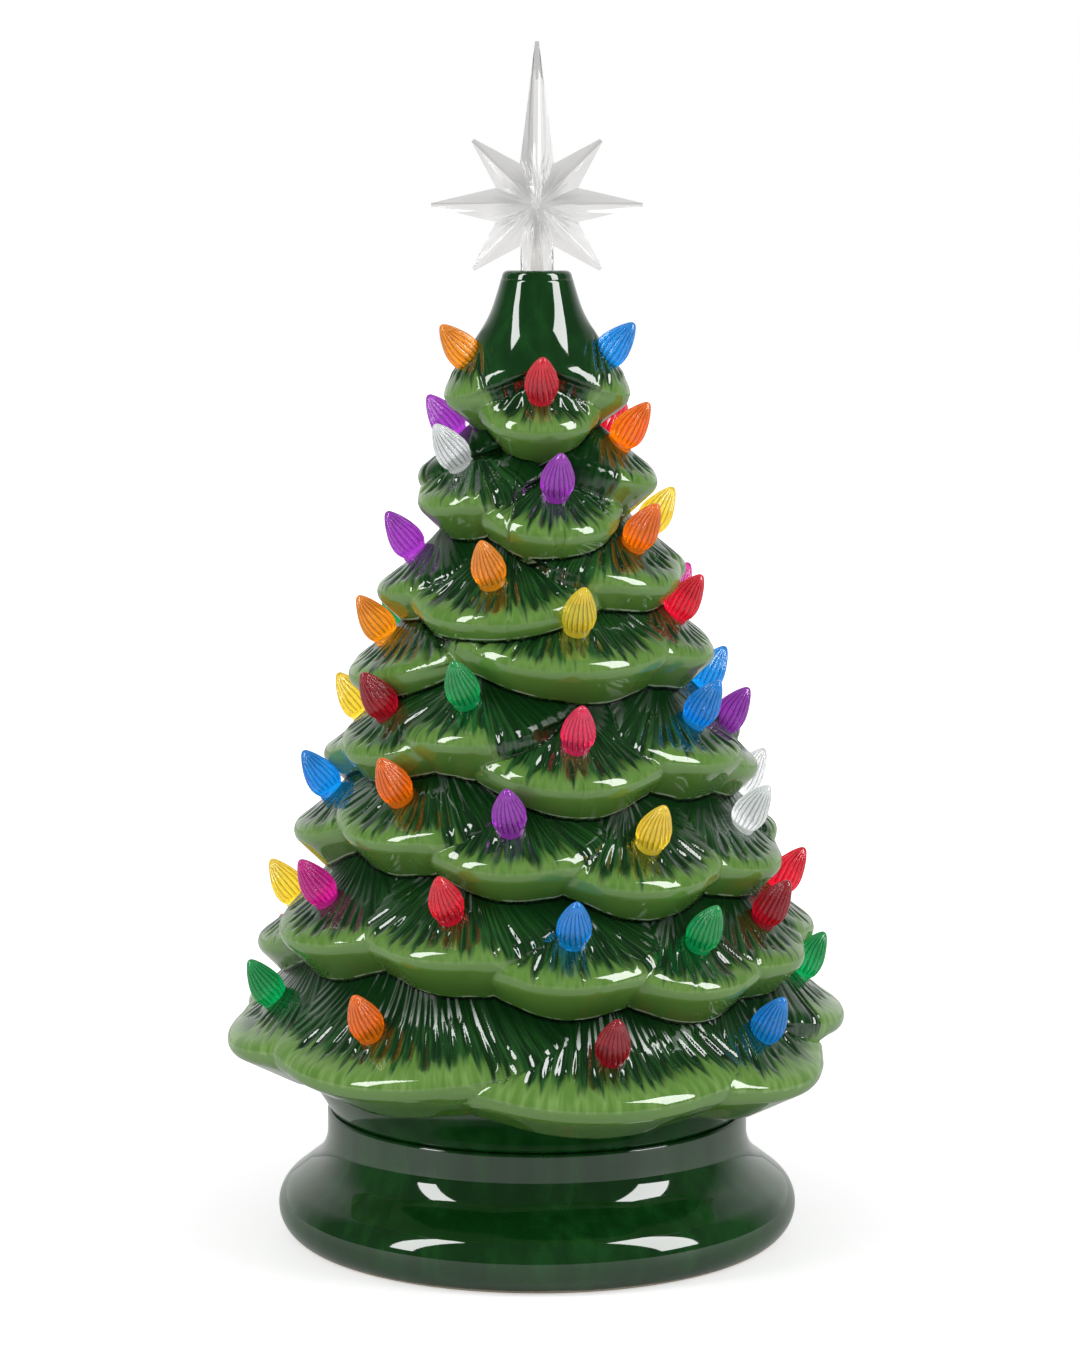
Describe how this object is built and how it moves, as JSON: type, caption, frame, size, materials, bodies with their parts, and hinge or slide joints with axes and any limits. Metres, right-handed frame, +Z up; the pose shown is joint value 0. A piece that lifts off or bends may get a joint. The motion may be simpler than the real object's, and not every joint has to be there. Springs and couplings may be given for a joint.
{
  "type": "ceramic christmas tree",
  "caption": "Glazed ceramic tabletop Christmas tree with coloured plastic bulbs, a clear star and a round stand that hides a battery lamp.",
  "frame": {"origin": "on the floor, at the centre of the stand's foot ring", "axes": "+Z up along the tree's axis to the star's tip, -Y towards the viewer of the picture, +X to the viewer's right"},
  "size_m": [0.1966, 0.1993, 0.3815],
  "materials": {
    "green_glaze": "high-gloss brushed glaze, dark green with light green rims",
    "stand_glaze": "high-gloss dark green glaze, bare clay on the foot ring",
    "clear_star": "clear and polished",
    "frosted_white": "frosted",
    "white_plastic": "fine grain",
    "black_plastic": "fine grain",
    "grey_rubber": "dull",
    "board_green": "solder mask",
    "led_yellow": "phosphor",
    "spring_steel": "nickel-plated",
    "screw_steel": "plain",
    "cell_wrap": "plain satin sleeve with bare steel ends",
    "black_wire": "satin insulation",
    "red_wire": "satin insulation",
    "bulb_red": "translucent and polished",
    "bulb_rose": "translucent and polished",
    "bulb_ruby": "translucent and polished",
    "bulb_orange": "translucent and polished",
    "bulb_amber": "translucent and polished",
    "bulb_gold": "translucent and polished",
    "bulb_green": "translucent and polished",
    "bulb_blue": "translucent and polished",
    "bulb_purple": "translucent and polished",
    "bulb_magenta": "translucent and polished",
    "bulb_clear": "translucent and polished"
  },
  "bodies": {
    "stand": {"stand_shell": "stand_glaze", "lamp_post": "white_plastic", "ring_nut": "white_plastic", "deck_washer": "grey_rubber", "led_board": "board_green", "led_chips": "led_yellow", "lamp_diffuser": "frosted_white", "unit_housing": "black_plastic", "post_screws": "screw_steel", "cell_left": "cell_wrap", "cell_middle": "cell_wrap", "cell_right": "cell_wrap", "contact_springs": "spring_steel", "contact_plates": "spring_steel", "switch_body": "black_plastic", "lead_black": "black_wire", "lead_red": "red_wire", "lead_link": "red_wire"},
    "tree": {"tree_shell": "green_glaze", "bulbs_red": "bulb_red", "bulbs_rose": "bulb_rose", "bulbs_ruby": "bulb_ruby", "bulbs_orange": "bulb_orange", "bulbs_amber": "bulb_amber", "bulbs_gold": "bulb_gold", "bulbs_green": "bulb_green", "bulbs_blue": "bulb_blue", "bulbs_purple": "bulb_purple", "bulbs_magenta": "bulb_magenta", "bulbs_clear": "bulb_clear"},
    "star": {"star_topper": "clear_star"},
    "door": {"battery_door": "black_plastic"},
    "screw": {"door_screw": "screw_steel"},
    "switch": {"switch_slider": "white_plastic"}
  },
  "joints": [
    {"name": "tree_lift", "type": "slide", "parent": "stand", "child": "tree", "axis": [0, 0, 1], "range_m": [0, 0.085]},
    {"name": "star_pull", "type": "slide", "parent": "tree", "child": "star", "axis": [0, 0, 1], "range_m": [0, 0.025]},
    {"name": "door_open", "type": "hinge", "parent": "stand", "child": "door", "pos_m": [-0.027, 0, 0.002], "axis": [0, 1, 0], "range_deg": [0, 60]},
    {"name": "door_screw_turn", "type": "hinge", "parent": "door", "child": "screw", "pos_m": [0.0335, 0, 0.002], "axis": [0, 0, 1], "range_deg": [0, 1080]},
    {"name": "switch_slide", "type": "slide", "parent": "stand", "child": "switch", "axis": [-0.4321, 0.9018, 0], "range_m": [0, 0.004]}
  ]
}
